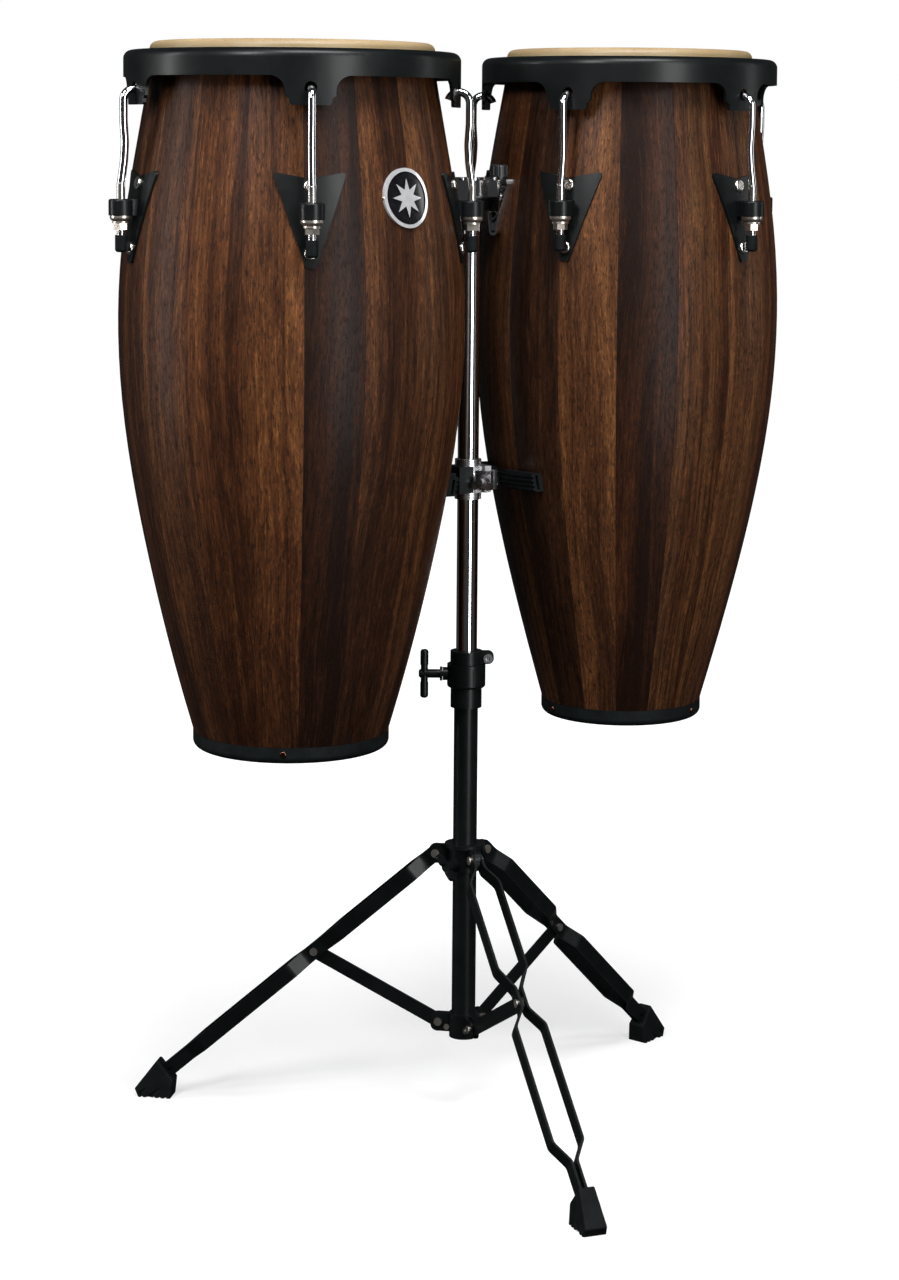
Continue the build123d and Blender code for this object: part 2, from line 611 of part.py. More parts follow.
def knee_cradle(drum):
    """Steel arc that follows the shell, on a stem from the knee clamp, in the drum's frame."""
    z = KNEE_Z - DRUM_BASE
    arc = drum.sleeve(4.2, 7.2, z - 7.5, z + 7.5)
    keep = block(0, 400, -CRADLE_HALF, CRADLE_HALF, z - 20, z + 20)
    end = 33.0 if drum.has_knob else 16.0
    stem = block(drum.radius(z) + 5.5, drum.reach - end, -6.5, 6.5, z - 7.0, z + 7.0)
    body = (arc & keep) + stem
    if not drum.has_knob:
        body += Pos(drum.reach, 0, -DRUM_BASE) * cheek(-17.0, -0.8)
    return body.solids()[0]


def knee_pads(drum):
    """Two ribbed rubber sleeves on each cradle's arms."""
    z = KNEE_Z - DRUM_BASE
    sleeve = drum.sleeve(0.5, 9.6, z - 9.5, z + 9.5)
    for level in (-7.0, -2.4, 2.4, 7.0):
        sleeve += drum.sleeve(9.0, 11.4, z + level - 1.2, z + level + 1.2)
    sleeve -= drum.sleeve(4.1, 7.3, z - 7.6, z + 7.6)
    pads = []
    for side in (1, -1):
        keep = block(0, 400, side * PAD_NEAR, side * PAD_END, z - 20, z + 20)
        pads += (sleeve & keep).solids()
    return pads


def tripod_collar():
    """Sliding collar with three tabs for the legs and a boss for its wing screw."""
    body = ring(17.0, TUBE_RADIUS + 0.15, 273.5, 300.0)
    body += ring(21.5, TUBE_RADIUS + 0.15, 298.0, 301.8)
    for azimuth in LEG_AZIMUTHS.values():
        tab = block(15.0, 39.0, -TAB_HALF, TAB_HALF, 279.0, 299.5)
        tab = fillet(tab.edges().filter_by(Axis.Y).sort_by(Axis.X)[-2:], 8.0)
        tab -= rod(PIVOT_HOLE, (LEG_PIVOT[0], -9, LEG_PIVOT[1]), (LEG_PIVOT[0], 9, LEG_PIVOT[1]))
        body += Rot(0, 0, azimuth) * (tab - disc(15.0, 270, 310))
    boss = rod(6.5, (14.0, 0, WING_Z), (24.0, 0, WING_Z)) - disc(15.0, 270, 310)
    body += Rot(0, 0, WING_AZIMUTH) * boss
    body -= Rot(0, 0, WING_AZIMUTH) * rod(3.1, (12.0, 0, WING_Z), (30.0, 0, WING_Z))
    return body.solids()[0]


def tripod_wing_screw():
    """Screw that locks the collar on the tube."""
    body = rod(3.0, (13.0, 0, WING_Z), (32.0, 0, WING_Z))
    body += rod(5.5, (24.3, 0, WING_Z), (32.0, 0, WING_Z))
    for side in (1, -1):
        wing = block(0, 9.0, side * 3.0, side * 16.0, -2, 2)
        wing = fillet(wing.edges().filter_by(Axis.Z), 3.5)
        body += Pos(27.0, 0, WING_Z) * Rot(-48, 0, 0) * wing
    return Rot(0, 0, WING_AZIMUTH) * body


def base_collar():
    """Fixed collar at the tube's foot with a clevis for each brace."""
    body = ring(15.2, TUBE_RADIUS, TUBE_LOW - 1, 117.0)
    body += disc(15.2, TUBE_LOW - 3, TUBE_LOW - 0.1)
    for azimuth in LEG_AZIMUTHS.values():
        for side in (1, -1):
            near = side * (BRACE_HALF + 0.4)
            far = side * (BRACE_HALF + 2.9)
            ear = block(13.5, 35.0, near, far, 96.0, 115.5)
            ear = fillet(ear.edges().filter_by(Axis.Y).sort_by(Axis.X)[-2:], 7.0)
            body += Rot(0, 0, azimuth) * (ear - disc(14.0, 80, 130))
        body -= Rot(0, 0, azimuth) * pivot_bore(BRACE_PIVOT, PIVOT_RADIUS)
        body -= Rot(0, 0, azimuth) * pivot_bore(CLEVIS_SCREW, 1.8)
    return body.solids()[0]


def pivot_bore(point, radius):
    x, z = point
    return rod(radius, (x, -30, z), (x, 30, z))


def headed_pin(point, radius, face, head_radius, head):
    """A pin across the leg's plane with a flat head on each side."""
    x, z = point
    pin = rod(radius, (x, -face, z), (x, face, z))
    for side in (1, -1):
        pin += rod(head_radius, (x, side * face, z), (x, side * (face + head), z))
    return pin


def base_rivets():
    """Rivets through the clevises and the braces, and the screws that close the clevises."""
    face = BRACE_HALF + 2.9
    rivet = headed_pin(BRACE_PIVOT, PIVOT_RADIUS, face, 4.2, 1.8)
    screw = headed_pin(CLEVIS_SCREW, 1.8, face, 3.0, 1.4)
    return around(rivet, LEG_AZIMUTHS.values()) + around(screw, LEG_AZIMUTHS.values())


def on_leg(shape):
    """From the leg's own frame, +X down the leg from its top pivot, to the stand's frame."""
    return Pos(LEG_PIVOT[0], 0, LEG_PIVOT[1]) * Rot(0, LEG_TILT, 0) * shape


def leg():
    """Two flat strips that spread apart between the top pivot, the brace pivot and the foot."""
    top = TAB_HALF + 0.35 + STRIP_THICK / 2
    mid = BRACE_HALF + 0.35 + STRIP_THICK / 2
    stations = [(-9, top), (14, top), (32, STRIP_BULGE), (LEG_MID - 38, STRIP_BULGE),
                (LEG_MID - 14, mid), (LEG_MID + 10, mid), (LEG_MID + 30, STRIP_BULGE),
                (LEG_LENGTH - 72, STRIP_BULGE), (LEG_LENGTH - 51, mid), (LEG_LENGTH, mid)]
    half = STRIP_THICK / 2
    outline = [(x, y + half) for x, y in stations] + [(x, y - half) for x, y in reversed(stations)]
    face = make_face(Polyline(*outline, close=True))
    bends = [v for v in face.vertices() if -5 < v.X < LEG_LENGTH - 5]
    strip = extrude(fillet(bends, 10.0), STRIP_WIDTH / 2, both=True)
    ends = strip.edges().filter_by(Axis.Y).sort_by(Axis.X)
    strip = fillet(ends[:2], 7.5)
    bores = [rod(PIVOT_RADIUS, (x, -30, 0), (x, 30, 0)) for x in (0, LEG_MID, LEG_LENGTH - 20)]
    strip = strip - bores
    return [strip, mirror(strip, Plane.XZ)]


def leg_rivets():
    """Top pin through the collar's tab, short rivets at the brace pivot, and the foot's rivet."""
    pieces = [headed_pin((0, 0), PIVOT_RADIUS, TAB_HALF + 0.35 + STRIP_THICK, 4.4, 1.8)]
    near = BRACE_HALF + 0.35
    far = near + STRIP_THICK
    for side in (1, -1):
        stub = rod(PIVOT_RADIUS, (LEG_MID, side * near, 0), (LEG_MID, side * far, 0))
        stub += rod(4.2, (LEG_MID, side * far, 0), (LEG_MID, side * (far + 1.8), 0))
        pieces.append(stub)
    return pieces


def foot():
    """Wedge-shaped rubber foot with fluted sides, in the stand's frame at azimuth 0."""
    sole_in, sole_out = 320.5, 357.0
    outline = [(sole_in, FLOOR), (sole_out, FLOOR), (361.0, 13.0), (335.8, 46.0), (318.0, 24.0)]
    face = make_face(Polyline(*[(x, 0, z) for x, z in outline], close=True))
    wedge = extrude(face, 15.0, dir=(0, 1, 0)) + extrude(face, 15.0, dir=(0, -1, 0))
    sides = [(-12.5, FLOOR), (12.5, FLOOR), (8.0, 48.0), (-8.0, 48.0)]
    wedge = wedge & prism_x(sides, 300.0, 380.0)
    wedge = fillet([e for e in wedge.edges() if e.center().Z > FLOOR + 1], 2.0)
    for i in range(3):
        flute = Pos(LEG_LENGTH - 12.0, 0, -9.5 + 9.5 * i) * Rot(0, 90, 0) * disc(2.6, 0, 34.0)
        for side in (1, -1):
            wedge -= Pos(0, side * 12.3, 0) * Rot(side * -6, 0, 0) * on_leg(flute)
    for i in range(5):
        x = sole_in + 4.0 + 6.6 * i
        for side in (1, -1):
            wedge -= block(x, x + 2.6, side * 9.5, side * 20, FLOOR - 1, FLOOR + 1.8)
    mid = BRACE_HALF + 0.35
    pocket = block(LEG_LENGTH - 60, LEG_LENGTH + 0.2, -mid - STRIP_THICK - 0.1,
                   mid + STRIP_THICK + 0.1, -STRIP_WIDTH / 2 - 0.1, STRIP_WIDTH / 2 + 0.1)
    return (wedge - on_leg(pocket)).solids()[0]


def brace():
    """Flat bar from the base collar to the middle of a leg."""
    x0, z0 = BRACE_PIVOT
    x1, z1 = MID_PIVOT
    length = hypot(x1 - x0, z1 - z0)
    bar = block(-6.0, length + 6.0, -BRACE_HALF, BRACE_HALF, -BRACE_WIDTH / 2, BRACE_WIDTH / 2)
    bar = fillet(bar.edges().filter_by(Axis.Y), 5.5)
    bar -= rod(PIVOT_HOLE, (0, -5, 0), (0, 5, 0))
    bar -= rod(PIVOT_HOLE, (length, -5, 0), (length, 5, 0))
    return Pos(x0, 0, z0) * Rot(0, -degrees(atan((z1 - z0) / (x1 - x0))), 0) * bar


def main():
    os.makedirs("parts", exist_ok=True)
    for drum in (CONGA, QUINTO):
        name = drum.name
        write(f"{name}_shell", [drum.place(s) for s in shell(drum)])
        write(f"{name}_base_band", drum.place(base_band(drum)))
        write(f"{name}_head", drum.place(head(drum)))
        write(f"{name}_flesh_hoop", drum.place(flesh_hoop(drum)))
        write(f"{name}_rim", drum.place(rim(drum)))
        write(f"{name}_hooks", [drum.place(s) for s in around(hook(drum), LUG_AZIMUTHS)])
        write(f"{name}_hook_tips", [drum.place(s) for s in around(hook_tip(drum), LUG_AZIMUTHS)])
        write(f"{name}_lug_plates",
              [drum.place(s) for s in around(lug_plate(drum), LUG_AZIMUTHS)])
        write(f"{name}_shell_fasteners", [drum.place(s) for s in shell_fasteners(drum)])
        write(f"{name}_bracket", drum.place(bracket(drum)))
        for i, azimuth in enumerate(LUG_AZIMUTHS):
            write(f"{name}_nut_{i + 1}",
                  [drum.place(Rot(0, 0, azimuth) * s) for s in tuning_nut(drum)])
    write("conga_badge", [CONGA.place(s) for s in badge(CONGA)])
    write("lower_tube", lower_tube())
    write("height_clamp", height_clamp())
    write("tube_bushing", tube_bushing())
    write("height_handle", height_handle())
    write("upper_pole", upper_pole())
    write("memory_lock", memory_lock())
    write("memory_lock_bolt", memory_lock_bolt())
    write("mount_head", mount_head())
    write("quinto_lock_knob", QUINTO.place(lock_knob(QUINTO)))
    write("knee_clamp", knee_clamp())
    write("knee_wing_bolt", knee_wing_bolt())
    write("knee_cradles", [d.place(knee_cradle(d)) for d in (CONGA, QUINTO)])
    write("knee_pads", [d.place(s) for d in (CONGA, QUINTO) for s in knee_pads(d)])
    write("tripod_collar", tripod_collar())
    write("tripod_wing_screw", tripod_wing_screw())
    write("base_collar", base_collar())
    write("base_rivets", base_rivets())
    for side, azimuth in LEG_AZIMUTHS.items():
        write(f"leg_{side}", [Rot(0, 0, azimuth) * on_leg(s) for s in leg()])
        write(f"leg_rivets_{side}", [Rot(0, 0, azimuth) * on_leg(s) for s in leg_rivets()])
        write(f"foot_{side}", Rot(0, 0, azimuth) * foot())
        write(f"brace_{side}", Rot(0, 0, azimuth) * brace())


main()
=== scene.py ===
import json
import math

import bmesh
import bpy
from mathutils import Matrix, Vector


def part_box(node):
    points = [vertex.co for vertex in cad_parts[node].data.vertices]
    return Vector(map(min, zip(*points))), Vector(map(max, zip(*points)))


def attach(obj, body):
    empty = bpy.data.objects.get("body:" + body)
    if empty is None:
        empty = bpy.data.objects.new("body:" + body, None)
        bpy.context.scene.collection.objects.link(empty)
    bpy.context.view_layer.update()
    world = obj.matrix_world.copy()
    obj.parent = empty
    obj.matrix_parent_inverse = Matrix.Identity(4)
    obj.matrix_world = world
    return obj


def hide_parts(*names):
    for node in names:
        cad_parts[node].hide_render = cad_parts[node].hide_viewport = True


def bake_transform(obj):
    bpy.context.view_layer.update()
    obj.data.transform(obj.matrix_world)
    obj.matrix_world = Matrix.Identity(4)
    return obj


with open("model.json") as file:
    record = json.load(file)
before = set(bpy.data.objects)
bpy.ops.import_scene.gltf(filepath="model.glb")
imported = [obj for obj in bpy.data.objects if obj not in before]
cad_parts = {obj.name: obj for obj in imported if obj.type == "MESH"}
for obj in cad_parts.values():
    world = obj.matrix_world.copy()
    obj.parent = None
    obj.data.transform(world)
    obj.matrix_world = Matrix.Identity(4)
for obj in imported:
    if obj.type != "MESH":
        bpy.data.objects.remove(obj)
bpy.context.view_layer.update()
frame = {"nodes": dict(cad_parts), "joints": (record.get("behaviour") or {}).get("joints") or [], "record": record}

nodes = frame["nodes"]
scene = bpy.context.scene

# ---- Places read from the frame, in metres ----
JOINTS = {joint["name"]: joint for joint in frame["joints"]}
LUGS = 5                     # tuning rods round each drum


def middle(name):
    """Centre of a CAD node's box."""
    low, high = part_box(name)
    return Vector([(a + b) / 2 for a, b in zip(low, high)])


class Drum:
    """Where one drum stands, and the numbers that tell its staves apart from the other's."""

    def __init__(self, name, staves, seed):
        self.name = name
        self.staves = staves
        self.seed = seed
        self.centre = middle(f"{name}_base_band")
        self.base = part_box(f"{name}_base_band")[0][2]
        self.rods = [Vector(JOINTS[f"{name}_nut_{i + 1}_turn"]["pos_m"]) for i in range(LUGS)]
        pole = middle("upper_pole")
        self.turn = math.atan2(pole.y - self.centre.y, pole.x - self.centre.x)


CONGA = Drum("conga", 18, 3.0)
QUINTO = Drum("quinto", 16, 57.0)
DRUMS = (CONGA, QUINTO)

# The badge's raised parts, in metres, as in the CAD.
STAR_POINTS = 8
STAR_SIZE = (0.0190, 0.0085)     # radii of the star's tips and of the notches between them
BADGE_RING = 0.0255              # inner radius of the bright ring


# ---- Shader helper ----

class Shader:
    """A principled material with short calls for the nodes used here."""

    def __init__(self, name):
        self.material = bpy.data.materials.new(name)
        self.material.use_nodes = True
        self.tree = self.material.node_tree
        self.surface = self.tree.nodes["Principled BSDF"]
        self.place = self.add("ShaderNodeTexCoord").outputs["Object"]

    def add(self, kind, **settings):
        node = self.tree.nodes.new(kind)
        for key, value in settings.items():
            setattr(node, key, value)
        return node

    def put(self, socket, value):
        """Link a socket, or set a plain value."""
        if isinstance(value, bpy.types.NodeSocket):
            self.tree.links.new(value, socket)
        else:
            socket.default_value = value

    def set(self, **values):
        """Values for the surface, such as Roughness=0.4; an underscore stands for a space."""
        for key, value in values.items():
            self.put(self.surface.inputs[key.replace("_", " ")], value)

    def math(self, operation, a, b=0.0, c=0.0):
        node = self.add("ShaderNodeMath", operation=operation)
        for socket, value in zip(node.inputs, (a, b, c)):
            self.put(socket, value)
        return node.outputs[0]

    def vector(self, operation, a, b=(0.0, 0.0, 0.0)):
        node = self.add("ShaderNodeVectorMath", operation=operation)
        self.put(node.inputs[0], a)
        self.put(node.inputs[1], b)
        return node.outputs["Value" if operation in ("LENGTH", "DOT_PRODUCT") else "Vector"]

    def split(self, vector):
        node = self.add("ShaderNodeSeparateXYZ")
        self.put(node.inputs[0], vector)
        return node.outputs

    def join(self, x, y, z):
        node = self.add("ShaderNodeCombineXYZ")
        for socket, value in zip(node.inputs, (x, y, z)):
            self.put(socket, value)
        return node.outputs[0]

    def noise(self, vector, scale=1.0, detail=2.0, roughness=0.5, distortion=0.0):
        node = self.add("ShaderNodeTexNoise")
        self.put(node.inputs["Vector"], vector)
        node.inputs["Scale"].default_value = scale
        node.inputs["Detail"].default_value = detail
        node.inputs["Roughness"].default_value = roughness
        node.inputs["Distortion"].default_value = distortion
        return node.outputs[0]

    def cells(self, vector, scale):
        node = self.add("ShaderNodeTexVoronoi")
        self.put(node.inputs["Vector"], vector)
        node.inputs["Scale"].default_value = scale
        return node.outputs["Distance"]

    def random(self, value):
        """Random (value, colour) for a number."""
        node = self.add("ShaderNodeTexWhiteNoise", noise_dimensions="1D")
        self.put(node.inputs["W"], value)
        return node.outputs["Value"], node.outputs["Color"]

    def ramp(self, value, stops):
        """stops: (position, grey or (r, g, b)) pairs."""
        node = self.add("ShaderNodeValToRGB")
        elements = node.color_ramp.elements
        while len(elements) < len(stops):
            elements.new(0.5)
        for element, (position, colour) in zip(elements, stops):
            element.position = position
            rgb = (colour,) * 3 if isinstance(colour, (int, float)) else colour
            element.color = (*rgb, 1.0)
        self.put(node.inputs[0], value)
        return node.outputs[0]

    def mix(self, amount, a, b, blend="MIX"):
        node = self.add("ShaderNodeMix", data_type="RGBA", blend_type=blend)
        self.put(node.inputs[0], amount)
        for index, value in ((6, a), (7, b)):
            value = (*value, 1.0) if isinstance(value, tuple) else value
            self.put(node.inputs[index], value)
        return node.outputs[2]

    def bump(self, height, distance, strength):
        node = self.add("ShaderNodeBump")
        node.inputs["Strength"].default_value = strength
        node.inputs["Distance"].default_value = distance
        self.put(node.inputs["Height"], height)
        return node.outputs[0]


# ---- Materials ----

def stave_wood(drum):
    """Dark walnut-brown staves: each has its own tone, grain and slope; joints show as lines."""
    s = Shader(f"{drum.name}_staves")
    centre = (drum.centre.x, drum.centre.y, drum.base)
    local = s.vector("SUBTRACT", s.place, centre)
    x, y, z = s.split(local)
    radius = s.vector("LENGTH", s.join(x, y, 0.0))
    turned = s.math("SUBTRACT", s.math("ARCTAN2", y, x), drum.turn)
    count = s.math("MULTIPLY", turned, drum.staves / math.tau)
    count = s.math("ADD", count, 2.0 * drum.staves - 0.5)
    index = s.math("FLOOR", count)
    across = s.math("FRACT", count)
    tone, colour = s.random(s.math("ADD", index, drum.seed))
    red, green, blue = s.split(colour)
    width = s.math("MULTIPLY", radius, math.tau / drum.staves)
    side = s.math("MULTIPLY", s.math("SUBTRACT", across, 0.5), width)
    # Grain runs along the stave, a little askew, and wanders.
    skew = s.math("MULTIPLY", z, s.math("MULTIPLY", s.math("SUBTRACT", red, 0.5), 0.05))
    wander = s.noise(s.join(s.math("MULTIPLY", green, 40.0), side, s.math("MULTIPLY", z, 3.0)),
                     1.0, 2.0)
    wander = s.math("MULTIPLY", s.math("SUBTRACT", wander, 0.5), 0.03)
    lane = s.math("ADD", s.math("ADD", side, skew), wander)
    shift = s.math("MULTIPLY", blue, 9.0)
    plank = s.math("MULTIPLY", index, 1.7)

    def grain(across_scale, along_scale, detail, roughness=0.55, distortion=0.0):
        vector = s.join(s.math("MULTIPLY", lane, across_scale),
                        s.math("MULTIPLY", s.math("ADD", z, shift), along_scale), plank)
        return s.noise(vector, 1.0, detail, roughness, distortion)

    bands = grain(40.0, 1.3, 3.0, 0.5, 0.6)
    streaks = grain(210.0, 3.4, 3.0, 0.6, 0.5)
    figure = grain(95.0, 16.0, 2.0, 0.55, 1.4)
    fibre = grain(760.0, 30.0, 2.0, 0.7)
    pores = grain(560.0, 110.0, 2.0, 0.7)
    flecks = grain(640.0, 150.0, 1.0, 0.5)
    value = s.math("MULTIPLY_ADD", streaks, 0.30, s.math("MULTIPLY_ADD", bands, 0.46, 0.085))
    for layer, weight in ((tone, 0.34), (figure, 0.26), (fibre, 0.28)):
        value = s.math("MULTIPLY_ADD", s.math("SUBTRACT", layer, 0.5), weight, value)
    # Painted shade: the staves' colour is made darker towards the bottom of the shell, over its lowest 0.34 m
    # above the foot.
    low = s.split(s.ramp(z, [(0.0, 1.0), (0.34, 0.0)]))[0]
    value = s.math("SUBTRACT", value, s.math("MULTIPLY", low, 0.07))
    brown = s.ramp(value, [(0.27, (0.0075, 0.0030, 0.0016)), (0.43, (0.0265, 0.0105, 0.0049)),
                           (0.55, (0.0640, 0.0265, 0.0108)), (0.70, (0.142, 0.064, 0.0235)),
                           (0.84, (0.230, 0.122, 0.048))])
    warm = s.mix(green, brown, (1.0, 0.72, 0.52), "MULTIPLY")
    gold = s.ramp(s.math("MULTIPLY", streaks, blue), [(0.34, 0.0), (0.60, 0.40)])
    warm = s.mix(s.split(gold)[0], warm, (0.125, 0.064, 0.025))
    fleck_mask = s.split(s.ramp(flecks, [(0.57, 0.0), (0.68, 0.55)]))[0]
    warm = s.mix(fleck_mask, warm, s.mix(1.0, warm, (2.1, 1.9, 1.7), "MULTIPLY"))
    pore_mask = s.ramp(pores, [(0.36, 1.0), (0.46, 0.0)])
    wood = s.mix(s.math("MULTIPLY", pore_mask, 0.62), warm, (0.004, 0.0022, 0.0016))
    edge = s.math("MINIMUM", across, s.math("SUBTRACT", 1.0, across))
    edge = s.math("MULTIPLY", edge, width)
    joint = s.ramp(s.math("MULTIPLY", edge, 1000.0), [(0.10, 1.0), (0.42, 0.0)])
    wood = s.mix(s.math("MULTIPLY", joint, 0.55), wood, (0.006, 0.003, 0.002))
    # The bare inside and the cut ends are paler raw wood.
    normal = s.add("ShaderNodeNewGeometry").outputs["Normal"]
    outward = s.vector("DOT_PRODUCT", normal, s.vector("NORMALIZE", s.join(x, y, 0.0)))
    inside = s.math("LESS_THAN", outward, -0.2)
    raw = s.ramp(value, [(0.35, (0.10, 0.055, 0.030)), (0.80, (0.30, 0.19, 0.11))])
    s.set(Base_Color=s.mix(inside, wood, raw))
    rough = s.ramp(s.math("ADD", fibre, pore_mask), [(0.3, 0.40), (1.2, 0.56)])
    s.set(Roughness=rough, Specular_IOR_Level=0.10, Coat_Weight=0.02, Coat_Roughness=0.22)
    height = s.math("SUBTRACT", s.math("MULTIPLY", fibre, 0.35), s.math("ADD", pore_mask, joint))
    s.set(Normal=s.bump(height, 0.00016, 0.5))
    return s.material


def rawhide(drum):
    """Tan skin: cloudy tone, fine speckle, darker where it turns over the edge."""
    s = Shader(f"{drum.name}_rawhide")
    cloud = s.noise(s.place, 14.0, 4.0, 0.6, 0.6)
    fine = s.noise(s.place, 420.0, 3.0, 0.7)
    speck = s.cells(s.place, 900.0)
    value = s.math("MULTIPLY_ADD", fine, 0.45, s.math("MULTIPLY", cloud, 0.6))
    skin = s.ramp(value, [(0.30, (0.20, 0.125, 0.060)), (0.50, (0.32, 0.225, 0.125)),
                          (0.72, (0.41, 0.305, 0.18))])
    skin = s.mix(s.math("MULTIPLY", s.ramp(speck, [(0.12, 1.0), (0.22, 0.0)]), 0.35), skin,
                 (0.16, 0.09, 0.04))
    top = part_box(f"{drum.name}_head")[1][2]
    height = s.math("SUBTRACT", top, s.split(s.place)[2])
    collar = s.ramp(s.math("MULTIPLY", height, 60.0), [(0.02, 0.0), (0.35, 1.0)])
    skin = s.mix(s.math("MULTIPLY", collar, 0.80), skin, (0.20, 0.148, 0.068))
    s.set(Base_Color=skin, Roughness=s.ramp(fine, [(0.3, 0.38), (0.7, 0.54)]),
          Subsurface_Weight=0.06, Subsurface_Scale=0.004)
    s.set(Normal=s.bump(s.math("ADD", fine, s.math("MULTIPLY", cloud, 0.6)), 0.0004, 0.5))
    return s.material


BLACK = 0.0030               # the black coat's reflectance


def powder_coat(name, rough, gloss):
    """Satin black powder coat with a fine orange-peel texture and faint dust."""
    s = Shader(name)
    peel = s.noise(s.place, 1400.0, 2.0, 0.5)
    wide = s.noise(s.place, 30.0, 3.0, 0.6)
    s.set(Base_Color=s.ramp(wide, [(0.3, (BLACK * 0.7, BLACK * 0.95, BLACK)),
                                   (0.8, (BLACK * 1.3, BLACK * 1.7, BLACK * 1.8))]))
    s.set(Roughness=s.ramp(s.math("MULTIPLY_ADD", peel, 0.4, s.math("MULTIPLY", wide, 0.6)),
                           [(0.3, rough[0]), (0.7, rough[1])]))
    s.set(Normal=s.bump(peel, 0.00012, 0.35), Specular_IOR_Level=gloss)
    s.set(Coat_Weight=0.12, Coat_Roughness=0.22)
    return s.material


def chrome(name, tint, rough):
    """Plated steel with faint smears."""
    s = Shader(name)
    smear = s.noise(s.vector("MULTIPLY", s.place, (60.0, 60.0, 12.0)), 1.0, 4.0, 0.65, 0.5)
    s.set(Base_Color=s.mix(smear, tint, tuple(c * 0.9 for c in tint)), Metallic=1.0)
    s.set(Roughness=s.ramp(smear, [(0.35, rough[0]), (0.7, rough[1])]))
    return s.material


def rubber():
    """Matte moulded rubber with a grainy skin and a dusty bloom."""
    s = Shader("black_rubber")
    grain = s.noise(s.place, 1700.0, 3.0, 0.7)
    bloom = s.noise(s.place, 55.0, 3.0, 0.6)
    s.set(Base_Color=s.ramp(bloom, [(0.35, (0.0024, 0.0034, 0.0036)),
                                    (0.75, (0.0060, 0.0078, 0.0084))]))
    s.set(Roughness=s.ramp(grain, [(0.3, 0.55), (0.7, 0.78)]), Specular_IOR_Level=0.10)
    s.set(Normal=s.bump(grain, 0.0002, 0.5))
    return s.material


def plastic():
    """Moulded nylon with a fine spark-eroded texture."""
    s = Shader("black_plastic")
    grain = s.noise(s.place, 2200.0, 2.0, 0.6)
    s.set(Base_Color=s.ramp(grain, [(0.3, (0.008, 0.0085, 0.009)), (0.7, (0.014, 0.015, 0.016))]))
    s.set(Roughness=s.ramp(grain, [(0.3, 0.34), (0.7, 0.5)]))
    s.set(Normal=s.bump(grain, 0.0001, 0.4))
    return s.material


def badge_face():
    """Black enamel field; the raised ring and star stay bright metal."""
    s = Shader("badge_face")
    centre = middle("conga_badge")
    outward = centre - CONGA.centre
    turn = math.atan2(outward.y, outward.x)
    x, y, z = s.split(s.vector("SUBTRACT", s.place, tuple(centre)))
    across = s.math("SUBTRACT", s.math("MULTIPLY", y, math.cos(turn)),
                    s.math("MULTIPLY", x, math.sin(turn)))
    radius = s.vector("LENGTH", s.join(across, z, 0.0))
    angle = s.math("ARCTAN2", across, z)
    step = math.tau / STAR_POINTS
    folded = s.math("PINGPONG", s.math("ADD", angle, math.tau), step / 2)
    along = s.math("MULTIPLY", radius, s.math("COSINE", folded))
    aside = s.math("MULTIPLY", radius, s.math("SINE", folded))
    tip, waist = STAR_SIZE
    rise = waist * math.sin(step / 2)
    run = tip - waist * math.cos(step / 2)
    edge = s.math("MULTIPLY_ADD", along, rise, s.math("MULTIPLY", aside, run))
    star = s.math("LESS_THAN", edge, rise * tip)
    ring = s.math("GREATER_THAN", radius, BADGE_RING)
    bright = s.math("MAXIMUM", star, ring)
    smear = s.noise(s.place, 160.0, 3.0, 0.6)
    metal = s.ramp(smear, [(0.3, (0.70, 0.70, 0.72)), (0.7, (0.82, 0.82, 0.84))])
    black = s.ramp(smear, [(0.3, (0.003, 0.003, 0.004)), (0.8, (0.007, 0.007, 0.009))])
    s.set(Base_Color=s.mix(bright, black, metal), Metallic=s.math("MULTIPLY", bright, 0.6))
    s.set(Roughness=s.ramp(smear, [(0.35, 0.16), (0.7, 0.24)]), Coat_Weight=0.3)
    return s.material


BAND_ZONE = 0.03             # below this height over a drum's foot the fasteners are screws


def fastener(drum):
    """Nickel bolts, washers and nuts; the small screws of the foot band are dark copper."""
    s = Shader(f"{drum.name}_fastener")
    height = s.math("SUBTRACT", s.split(s.place)[2], drum.base)
    screw = s.math("LESS_THAN", height, BAND_ZONE)
    smear = s.noise(s.place, 240.0, 3.0, 0.6)
    nickel = s.ramp(smear, [(0.3, (0.62, 0.59, 0.54)), (0.7, (0.78, 0.75, 0.70))])
    copper = s.ramp(smear, [(0.3, (0.085, 0.036, 0.024)), (0.7, (0.16, 0.075, 0.05))])
    s.set(Base_Color=s.mix(screw, nickel, copper), Metallic=1.0)
    s.set(Roughness=s.ramp(smear, [(0.3, 0.16), (0.7, 0.30)]))
    return s.material


def floor_white():
    """White sweep: shows faint shadows near the feet and goes to clear white further out."""
    s = Shader("floor")
    grain = s.noise(s.place, 12.0, 3.0)
    reach = s.math("ADD", s.vector("LENGTH", s.place), s.math("MULTIPLY", grain, 0.02))
    s.set(Base_Color=s.ramp(grain, [(0.3, 0.46), (0.7, 0.48)]), Roughness=0.9,
          Specular_IOR_Level=0.0, Emission_Color=(1.0, 1.0, 1.0, 1.0))
    glow = s.split(s.ramp(reach, [(0.35, 0.57), (0.70, 0.78), (1.0, 1.0)]))[0]
    s.set(Emission_Strength=glow)
    return s.material


